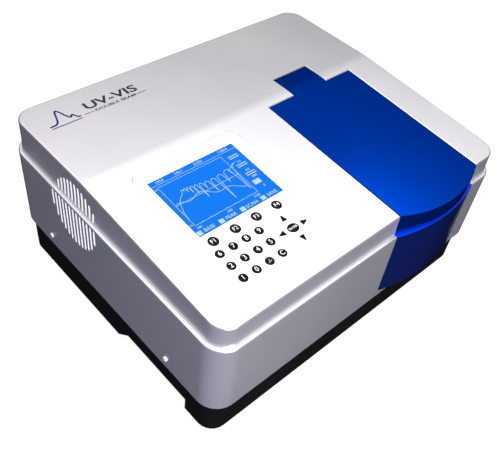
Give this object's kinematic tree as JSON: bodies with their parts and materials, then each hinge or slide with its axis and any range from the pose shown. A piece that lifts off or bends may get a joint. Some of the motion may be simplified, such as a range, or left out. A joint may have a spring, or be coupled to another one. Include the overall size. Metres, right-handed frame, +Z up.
{
  "type": "spectrophotometer",
  "caption": "Bench spectrophotometer: silver two-tier case on a black base, sloping panel with display and keys, and a hinged blue lid over the sample bay.",
  "frame": {"origin": "under the middle of the instrument, on the plane that its four feet stand on", "axes": "+X to the operator's right, +Y to the back, +Z up"},
  "size_m": [0.4554, 0.3916, 0.203],
  "materials": {
    "silver_casing": "moulded casing with fine metallic silver paint",
    "black_base": "matte black powder coat",
    "blue_lid": "royal blue, satin gloss",
    "blue_front": "dark royal blue, high gloss",
    "white_overlay": "satin white printed film",
    "key_black": "soft blue-black with pale legends",
    "display": "lit azure liquid-crystal display behind clear glass",
    "steel": "zinc-plated or stainless",
    "rubber": "matte black",
    "black_anodised": "matte black anodised",
    "bench_aluminium": "plain machined",
    "circuit_board": "green solder mask",
    "black_plastic": "fine moulded texture",
    "filter_white": "pale non-woven filter pad",
    "lamp_glass": "clear fused silica",
    "mirror_coat": "front-surface aluminium coat"
  },
  "bodies": {
    "case": {"base_tray": "black_base", "casing_cover": "silver_casing", "cell_holder": "bench_aluminium", "control_panel": "white_overlay", "detector_housing": "black_anodised", "deuterium_lamp": "lamp_glass", "display_module": "display", "fan_frame": "black_plastic", "front_left_foot": "rubber", "front_left_screw": "steel", "front_right_foot": "rubber", "front_right_screw": "steel", "halogen_lamp": "lamp_glass", "interface_ports": "steel", "keypad_board": "circuit_board", "lamp_house": "bench_aluminium", "lid_hinge_bracket": "steel", "lid_hinge_pin": "steel", "main_board": "circuit_board", "mains_module": "black_plastic", "monochromator_housing": "black_anodised", "optical_bench": "bench_aluminium", "power_supply": "steel", "rear_left_foot": "rubber", "rear_left_screw": "steel", "rear_panel": "silver_casing", "rear_right_foot": "rubber", "rear_right_screw": "steel", "reference_cuvette": "lamp_glass", "sample_bay_front": "blue_front", "sample_cuvette": "lamp_glass", "sample_well": "black_anodised", "vent_filter": "filter_white"},
    "lid": {"sample_lid": "blue_lid"},
    "fan": {"fan_rotor": "black_plastic"},
    "filters": {"filter_wheel": "black_anodised"},
    "grating": {"diffraction_grating": "mirror_coat"},
    "beam_mirror": {"source_mirror": "mirror_coat"},
    "power_switch": {"power_rocker": "black_plastic"},
    "key_0": {"key_0": "key_black"},
    "key_1": {"key_1": "key_black"},
    "key_2": {"key_2": "key_black"},
    "key_3": {"key_3": "key_black"},
    "key_4": {"key_4": "key_black"},
    "key_5": {"key_5": "key_black"},
    "key_6": {"key_6": "key_black"},
    "key_7": {"key_7": "key_black"},
    "key_8": {"key_8": "key_black"},
    "key_9": {"key_9": "key_black"},
    "key_clear": {"key_clear": "key_black"},
    "key_down": {"key_down": "key_black"},
    "key_enter": {"key_enter": "key_black"},
    "key_f1": {"key_f1": "key_black"},
    "key_f2": {"key_f2": "key_black"},
    "key_f3": {"key_f3": "key_black"},
    "key_f4": {"key_f4": "key_black"},
    "key_left": {"key_left": "key_black"},
    "key_point": {"key_point": "key_black"},
    "key_right": {"key_right": "key_black"},
    "key_up": {"key_up": "key_black"}
  },
  "joints": [
    {"name": "compartment_lid_hinge", "type": "hinge", "parent": "case", "child": "lid", "pos_m": [0.1027, 0.065, 0.1978], "axis": [-1, 0, 0], "range_deg": [0, 80]},
    {"name": "ac_power_switch_tilt", "type": "hinge", "parent": "case", "child": "power_switch", "pos_m": [-0.1365, 0.1912, 0.112], "axis": [-1, 0, 0], "range_deg": [0, 16]},
    {"name": "beam_mirror_turn", "type": "hinge", "parent": "case", "child": "beam_mirror", "pos_m": [0.08, 0.115, 0.118], "axis": [0, 0, 1], "range_deg": [0, 90]},
    {"name": "fan_spin", "type": "hinge", "parent": "case", "child": "fan", "pos_m": [-0.2025, 0.0601, 0.149], "axis": [1, 0, 0], "continuous": true},
    {"name": "filter_wheel_turn", "type": "hinge", "parent": "case", "child": "filters", "pos_m": [0.0365, 0.115, 0.118], "axis": [1, 0, 0], "continuous": true},
    {"name": "grating_turn", "type": "hinge", "parent": "case", "child": "grating", "pos_m": [-0.07, 0.06, 0.118], "axis": [0, 0, 1], "range_deg": [-35, 35]},
    {"name": "key_0_press", "type": "slide", "parent": "case", "child": "key_0", "axis": [0, 0.0757, -0.9971], "range_m": [0, 0.0005], "stiffness_N_per_m": 1500},
    {"name": "key_1_press", "type": "slide", "parent": "case", "child": "key_1", "axis": [0, 0.0757, -0.9971], "range_m": [0, 0.0005], "stiffness_N_per_m": 1500},
    {"name": "key_2_press", "type": "slide", "parent": "case", "child": "key_2", "axis": [0, 0.0757, -0.9971], "range_m": [0, 0.0005], "stiffness_N_per_m": 1500},
    {"name": "key_3_press", "type": "slide", "parent": "case", "child": "key_3", "axis": [0, 0.0757, -0.9971], "range_m": [0, 0.0005], "stiffness_N_per_m": 1500},
    {"name": "key_4_press", "type": "slide", "parent": "case", "child": "key_4", "axis": [0, 0.0757, -0.9971], "range_m": [0, 0.0005], "stiffness_N_per_m": 1500},
    {"name": "key_5_press", "type": "slide", "parent": "case", "child": "key_5", "axis": [0, 0.0757, -0.9971], "range_m": [0, 0.0005], "stiffness_N_per_m": 1500},
    {"name": "key_6_press", "type": "slide", "parent": "case", "child": "key_6", "axis": [0, 0.0757, -0.9971], "range_m": [0, 0.0005], "stiffness_N_per_m": 1500},
    {"name": "key_7_press", "type": "slide", "parent": "case", "child": "key_7", "axis": [0, 0.0757, -0.9971], "range_m": [0, 0.0005], "stiffness_N_per_m": 1500},
    {"name": "key_8_press", "type": "slide", "parent": "case", "child": "key_8", "axis": [0, 0.0757, -0.9971], "range_m": [0, 0.0005], "stiffness_N_per_m": 1500},
    {"name": "key_9_press", "type": "slide", "parent": "case", "child": "key_9", "axis": [0, 0.0757, -0.9971], "range_m": [0, 0.0005], "stiffness_N_per_m": 1500},
    {"name": "key_clear_press", "type": "slide", "parent": "case", "child": "key_clear", "axis": [0, 0.0757, -0.9971], "range_m": [0, 0.0005], "stiffness_N_per_m": 1500},
    {"name": "key_down_press", "type": "slide", "parent": "case", "child": "key_down", "axis": [0, 0.0757, -0.9971], "range_m": [0, 0.0005], "stiffness_N_per_m": 1500},
    {"name": "key_enter_press", "type": "slide", "parent": "case", "child": "key_enter", "axis": [0, 0.0757, -0.9971], "range_m": [0, 0.0005], "stiffness_N_per_m": 1500},
    {"name": "key_f1_press", "type": "slide", "parent": "case", "child": "key_f1", "axis": [0, 0.0757, -0.9971], "range_m": [0, 0.0005], "stiffness_N_per_m": 1500},
    {"name": "key_f2_press", "type": "slide", "parent": "case", "child": "key_f2", "axis": [0, 0.0757, -0.9971], "range_m": [0, 0.0005], "stiffness_N_per_m": 1500},
    {"name": "key_f3_press", "type": "slide", "parent": "case", "child": "key_f3", "axis": [0, 0.0757, -0.9971], "range_m": [0, 0.0005], "stiffness_N_per_m": 1500},
    {"name": "key_f4_press", "type": "slide", "parent": "case", "child": "key_f4", "axis": [0, 0.0757, -0.9971], "range_m": [0, 0.0005], "stiffness_N_per_m": 1500},
    {"name": "key_left_press", "type": "slide", "parent": "case", "child": "key_left", "axis": [0, 0.0757, -0.9971], "range_m": [0, 0.0005], "stiffness_N_per_m": 1500},
    {"name": "key_point_press", "type": "slide", "parent": "case", "child": "key_point", "axis": [0, 0.0757, -0.9971], "range_m": [0, 0.0005], "stiffness_N_per_m": 1500},
    {"name": "key_right_press", "type": "slide", "parent": "case", "child": "key_right", "axis": [0, 0.0757, -0.9971], "range_m": [0, 0.0005], "stiffness_N_per_m": 1500},
    {"name": "key_up_press", "type": "slide", "parent": "case", "child": "key_up", "axis": [0, 0.0757, -0.9971], "range_m": [0, 0.0005], "stiffness_N_per_m": 1500}
  ]
}
